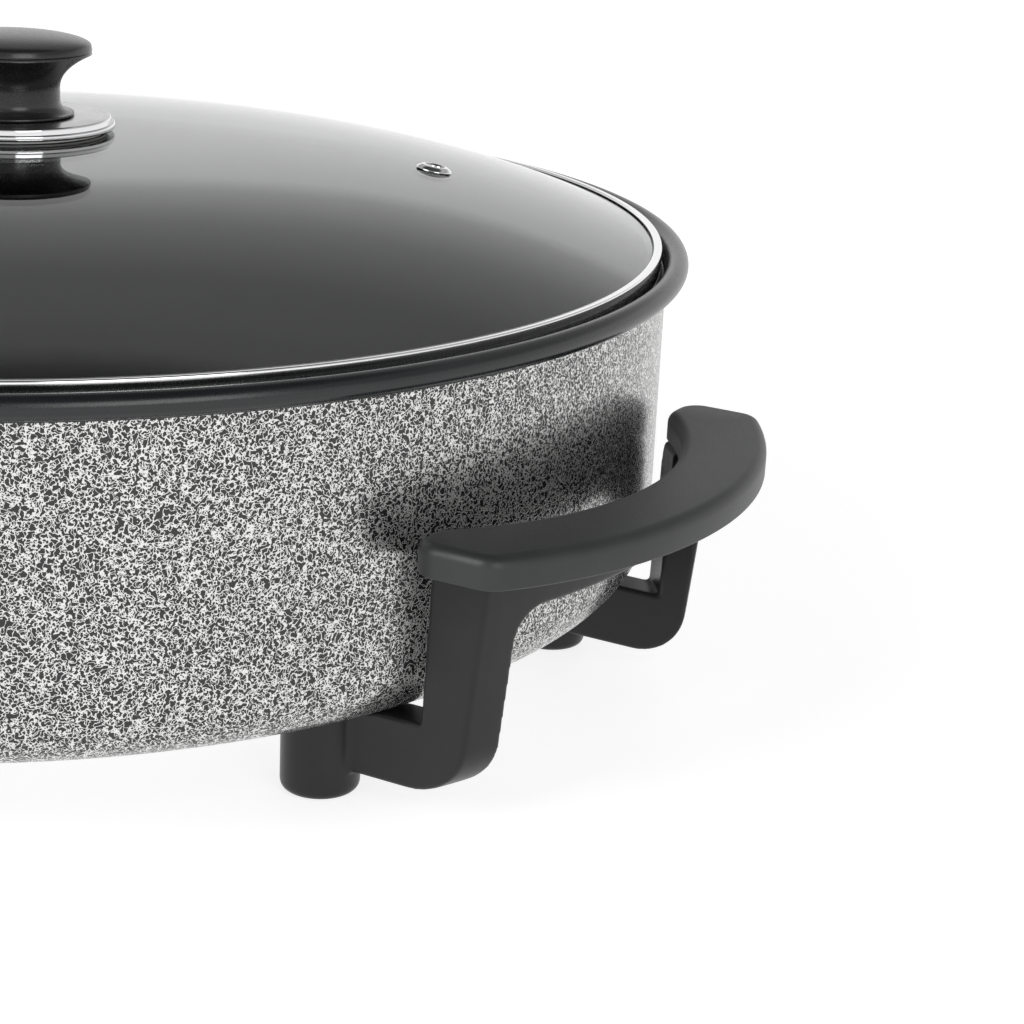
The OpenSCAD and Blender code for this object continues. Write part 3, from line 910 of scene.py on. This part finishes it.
@dataclass
class Handle:
    """Moulded leg frame with a crescent grip on top."""

    side: Side
    grip_low: float = 73.1
    grip_top: float = 82.0
    grip_half: float = 82.5
    outer_r: float = 144.0
    outer_x: float = 101.5
    inner_r: float = 102.0
    inner_x: float = 120.0
    end_x: float = 195.6
    corner: float = 8.0
    end_rise: float = 0.6
    upper_round: float = 3.4
    lower_round: float = 0.6
    level: float = 0.99

    def turn(self) -> Matrix:
        """Turn of this side about the pan's axis."""
        return Matrix.Rotation(math.radians(self.side.value), 4, "Z")

    def crescent(self) -> list[Point]:
        """Outline of the grip seen from above: two long arcs joined by rounded ends.

        Returns:
            The outline's points, once round.
        """
        tip = self.grip_half - self.corner
        outer_mid = self.outer_x + math.sqrt((self.outer_r - self.corner) ** 2 - tip ** 2)
        outer_turn = math.degrees(math.atan2(tip, outer_mid - self.outer_x))
        nose_mid = self.end_x + self.corner
        inner_tip = math.sqrt((self.inner_r + self.corner) ** 2 - (nose_mid - self.inner_x) ** 2)
        inner_turn = math.degrees(math.atan2(inner_tip, nose_mid - self.inner_x))
        outline = arc((self.outer_x, 0.0), self.outer_r, -outer_turn, outer_turn, 56)
        outline += arc((outer_mid, tip), self.corner, outer_turn, 90, 7)[1:]
        outline += arc((nose_mid, tip), self.corner, 90, 180, 10)
        outline += arc((nose_mid, inner_tip), self.corner, 180, 180 + inner_turn, 5)
        outline += arc((self.inner_x, 0.0), self.inner_r, inner_turn, -inner_turn, 48)[1:-1]
        outline += arc((nose_mid, -inner_tip), self.corner, 180 - inner_turn, 180, 5)
        outline += arc((nose_mid, -tip), self.corner, 180, 270, 10)
        outline += arc((outer_mid, -tip), self.corner, 270, 360 - outer_turn, 7)[:-1]
        return outline

    def build_grip(self, palette: Palette) -> None:
        """Makes the grip: a raised crescent with rounded edges and slightly lifted ends.

        Args:
            palette: the finishes.
        """
        bm = bmesh.new()
        ring = [bm.verts.new((x * MM, y * MM, self.grip_low * MM)) for x, y in self.crescent()]
        face = bm.faces.new(ring)
        bm.normal_update()
        raised = bmesh.ops.extrude_face_region(bm, geom=[face], use_keep_orig=True)["geom"]
        lifted = [v for v in raised if isinstance(v, bmesh.types.BMVert)]
        bmesh.ops.translate(bm, verts=lifted, vec=(0, 0, (self.grip_top - self.grip_low) * MM))
        bmesh.ops.recalc_face_normals(bm, faces=bm.faces)
        for up, offset, rounds in ((1.0, self.upper_round, 7), (-1.0, self.lower_round, 4)):
            bm.normal_update()
            edges = [e for e in bm.edges if len(e.link_faces) == 2
                     and max(f.normal.z * up for f in e.link_faces) > self.level]
            bmesh.ops.bevel(bm, geom=edges, offset=offset * MM, affect="EDGES", segments=rounds,
                            profile=0.5, clamp_overlap=False, material=-1)
        for vert in bm.verts:
            vert.co.z += self.end_rise * MM * (vert.co.y / (self.grip_half * MM)) ** 4
        bmesh.ops.triangulate(bm, faces=[f for f in bm.faces if len(f.verts) > 4])
        piece = make_piece(bm, f"{self.side.prefix}_grip_moulding", [palette[Finish.GRIP]],
                           sharp=35.0)
        piece.data.transform(self.turn())
        hand_over(piece, Body.BASE, "grip_plastic", f"{self.side.prefix}_grip")

    def build_frame(self, palette: Palette, mould: bpy.types.Mesh) -> None:
        """Makes this side's leg frame from the shared moulding.

        Args:
            palette: the finishes.
            mould: the right frame's mesh.
        """
        node = f"{self.side.prefix}_handle_frame"
        mesh = mould.copy()
        mesh.transform(self.turn())
        mesh.materials.clear()
        mesh.materials.append(palette[Finish.HANDLE])
        piece = bpy.data.objects.new(f"{node}_moulding", mesh)
        bpy.context.scene.collection.objects.link(piece)
        hand_over(piece, Body.BASE, "handle_plastic", node)

    def build(self, palette: Palette, mould: bpy.types.Mesh) -> None:
        """Makes the frame and the grip.

        Args:
            palette: the finishes.
            mould: the right frame's mesh.
        """
        self.build_frame(palette, mould)
        self.build_grip(palette)


@dataclass(frozen=True)
class FrameMould:
    """Gives the leg frame's solid the soft edges of a moulding.

    The top of a leg's back is brought out to back_x, for back_drop below the height back_z and
    farther out than back_y. At the lower end of that stretch the limit lies back_shift farther in.
    """

    flat: float = 1.0
    edge_round: float = 0.9
    edge_turn: float = 45.0
    edge_steps: int = 3
    voxel: float = 0.5
    soft_share: float = 0.5
    softening: int = 10
    faces: int = 170000
    back_x: float = 196.6
    back_z: float = 73.8
    back_drop: float = 14.0
    back_y: float = 64.0
    back_shift: float = 3.2

    def trim_backs(self, mesh: bpy.types.Mesh) -> None:
        """Brings the top of each leg's back flush with the grip's end.

        Args:
            mesh: the evened frame.
        """
        for vert in mesh.vertices:
            high = 1.0 - (self.back_z - vert.co.z / MM) / self.back_drop
            if high > 0.0 and abs(vert.co.y) > self.back_y * MM:
                limit = self.back_x - self.back_shift * (1.0 - min(1.0, high))
                vert.co.x = max(vert.co.x, limit * MM)

    def cast(self) -> bpy.types.Mesh:
        """Rounds and evens a merged copy of the right frame's mesh, then thins it.

        Returns:
            The moulding's mesh.
        """
        bm = bmesh.new()
        bm.from_mesh(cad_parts["right_handle_frame"].data)
        bmesh.ops.remove_doubles(bm, verts=bm.verts, dist=1e-6)
        bmesh.ops.dissolve_limit(bm, angle_limit=math.radians(self.flat),
                                 verts=bm.verts, edges=bm.edges)
        piece = make_piece(bm, "frame_mould", [])
        chamfer = piece.modifiers.new("round", "BEVEL")
        chamfer.width = self.edge_round * MM
        chamfer.segments = self.edge_steps
        chamfer.limit_method = "ANGLE"
        chamfer.angle_limit = math.radians(self.edge_turn)
        chamfer.use_clamp_overlap = False
        remesh = piece.modifiers.new("even", "REMESH")
        remesh.mode = "VOXEL"
        remesh.voxel_size = self.voxel * MM
        remesh.use_smooth_shade = True
        soften = piece.modifiers.new("soften", "SMOOTH")
        soften.factor = self.soft_share
        soften.iterations = self.softening
        even = applied(piece)
        piece.modifiers.clear()
        self.trim_backs(even)
        piece.data = even
        thin = piece.modifiers.new("thin", "DECIMATE")
        thin.ratio = min(1.0, self.faces / (2 * len(even.polygons)))
        mould = applied(piece)
        log.info("leg frame: %d faces evened, %d kept", len(even.polygons), len(mould.polygons))
        bpy.data.objects.remove(piece)
        return mould


# Inner parts


@dataclass
class InnerParts:
    """Heater, inlet and fasteners: their solids stay and get their finishes."""

    finishes: dict[str, Finish] = field(default_factory=lambda: {
        "heater_plate": Finish.CAST, "heating_tube": Finish.SHEATH, "tube_seals": Finish.CERAMIC,
        "inlet_pins": Finish.BRASS, "inlet_guard": Finish.GUARD, "guard_studs": Finish.ZINC,
        "guard_nuts": Finish.ZINC, "earth_spring": Finish.BRASS, "heater_studs": Finish.ZINC,
        "plate_nuts": Finish.ZINC, "bottom_cover": Finish.COVER, "cover_nuts": Finish.ZINC,
        "foot_bosses": Finish.CAST, "right_grip_screws": Finish.BLACKENED,
        "right_foot_screws": Finish.ZINC, "left_grip_screws": Finish.BLACKENED,
        "left_foot_screws": Finish.ZINC, "knob_gasket": Finish.SILICONE,
        "knob_insert": Finish.BRASS, "knob_screw": Finish.ZINC, "lower_gasket": Finish.SILICONE,
        "lower_washer": Finish.ZINC})

    def dress(self, palette: Palette) -> None:
        """Gives each solid its finish.

        Args:
            palette: the finishes.
        """
        for name, finish in self.finishes.items():
            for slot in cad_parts[name].material_slots:
                slot.material = palette[finish]
            log.info("%s: %s", name, finish.name.lower())


# Studio


@dataclass(frozen=True)
class Lamp:
    """Soft square lamp: place, aim and side in metres, power in watts."""

    name: str
    place: Place
    aim: Place
    size: float
    power: float

    def build(self) -> None:
        """Adds the lamp to the scene."""
        data = bpy.data.lights.new(self.name, "AREA")
        data.shape = "SQUARE"
        data.size = self.size
        data.energy = self.power
        lamp = bpy.data.objects.new(self.name, data)
        turn = (Vector(self.aim) - Vector(self.place)).to_track_quat("-Z", "Y")
        lamp.matrix_world = Matrix.Translation(self.place) @ turn.to_matrix().to_4x4()
        bpy.context.scene.collection.objects.link(lamp)


@dataclass
class Studio:
    """Plain pale floor, soft light and the photograph's view.

    The camera's angles are in degrees, before its turn about the pan's axis by handle_turn. sky
    lists heights, from the horizon at 0 to overhead at 1, and the grey at each.
    """

    eye: Place = (0.48033, -0.55843, 0.27514)
    yaw: float = 12.491
    pitch: float = 18.3458
    roll: float = 2.8154
    handle_turn: float = 40.7
    lens: float = 82.5
    sensor: float = 36.0
    floor_half: float = 8.0
    floor_dark: Colour = (0.34, 0.34, 0.34)
    floor_light: Colour = (0.36, 0.36, 0.36)
    floor_glow: float = 0.80
    sky: tuple[Point, ...] = ((0.0, 1.0), (0.29, 1.0), (0.33, 0.74), (0.40, 0.58), (0.45, 0.49),
                              (0.60, 0.40), (0.70, 0.47), (0.77, 0.48), (0.81, 0.22), (0.86, 0.06),
                              (1.0, 0.06))
    lamps: tuple[Lamp, ...] = (Lamp("key", (-0.6, -1.6, 1.3), (0.0, 0.0, 0.08), 1.2, 26.0),
                               Lamp("fill", (1.6, -0.9, 1.0), (0.15, 0.0, 0.06), 1.0, 9.0))

    def build_camera(self) -> None:
        """Places the camera."""
        yaw, pitch, roll = (math.radians(a) for a in (self.yaw, self.pitch, self.roll))
        ahead = Vector((math.sin(yaw) * math.cos(pitch), math.cos(yaw) * math.cos(pitch),
                        -math.sin(pitch)))
        right = Vector((math.cos(yaw), -math.sin(yaw), 0.0))
        up = right.cross(ahead)
        across = right * math.cos(roll) + up * math.sin(roll)
        upright = -right * math.sin(roll) + up * math.cos(roll)
        turn = Matrix.Rotation(math.radians(self.handle_turn), 3, "Z")
        columns = Matrix((turn @ across, turn @ upright, turn @ -ahead)).transposed()
        data = bpy.data.cameras.new("photo_view")
        data.lens = self.lens
        data.sensor_width = self.sensor
        camera = bpy.data.objects.new("photo_view", data)
        camera.matrix_world = Matrix.Translation(self.eye) @ columns.to_4x4()
        bpy.context.scene.collection.objects.link(camera)
        bpy.context.scene.camera = camera

    def build_floor(self) -> None:
        """Makes the floor, which glows a little so that it stays white."""
        bm = bmesh.new()
        bmesh.ops.create_grid(bm, x_segments=8, y_segments=8, size=self.floor_half)
        s = Sheet("studio_floor")
        s.set(Base_Color=s.mix(s.noise(3.0, 2.0).outputs["Fac"], self.floor_dark, self.floor_light),
              Roughness=0.6, Emission_Color=(1.0, 1.0, 1.0, 1.0), Emission_Strength=self.floor_glow)
        floor = make_piece(bm, "studio_floor", [s.material])

    def build_sky(self) -> None:
        """Makes the surroundings: white at the horizon and greyer overhead."""
        world = bpy.data.worlds.new("studio")
        world.use_nodes = True
        bpy.context.scene.world = world
        nodes, links = world.node_tree.nodes, world.node_tree.links
        where = nodes.new("ShaderNodeTexCoord")
        split = nodes.new("ShaderNodeSeparateXYZ")
        ramp = nodes.new("ShaderNodeValToRGB")
        links.new(where.outputs["Generated"], split.inputs[0])
        links.new(split.outputs["Z"], ramp.inputs["Fac"])
        stops = ramp.color_ramp.elements
        for stop, (height, grey) in zip(stops, (self.sky[0], self.sky[-1])):
            stop.position = height
            stop.color = (grey, grey, grey, 1.0)
        for height, grey in self.sky[1:-1]:
            stops.new(height).color = (grey, grey, grey, 1.0)
        backdrop = nodes["Background"]
        links.new(ramp.outputs["Color"], backdrop.inputs["Color"])
        backdrop.inputs["Strength"].default_value = 1.0

    def build(self) -> None:
        """Makes the camera, the floor and the light."""
        self.build_camera()
        self.build_floor()
        self.build_sky()
        for lamp in self.lamps:
            lamp.build()
        bpy.context.scene.view_settings.view_transform = "Standard"
        bpy.context.scene.view_settings.look = "None"


def main() -> None:
    """Builds the skillet piece by piece and logs the pieces as they are made."""
    logging.basicConfig(level=logging.INFO, format="%(name)s: %(message)s")
    palette = Palette()
    Studio().build()
    PanBody().build(palette)
    Lid().build(palette)
    Knob().build(palette)
    mould = FrameMould().cast()
    for side in Side:
        Handle(side).build(palette, mould)
    InnerParts().dress(palette)


if __name__ == "__main__":
    main()
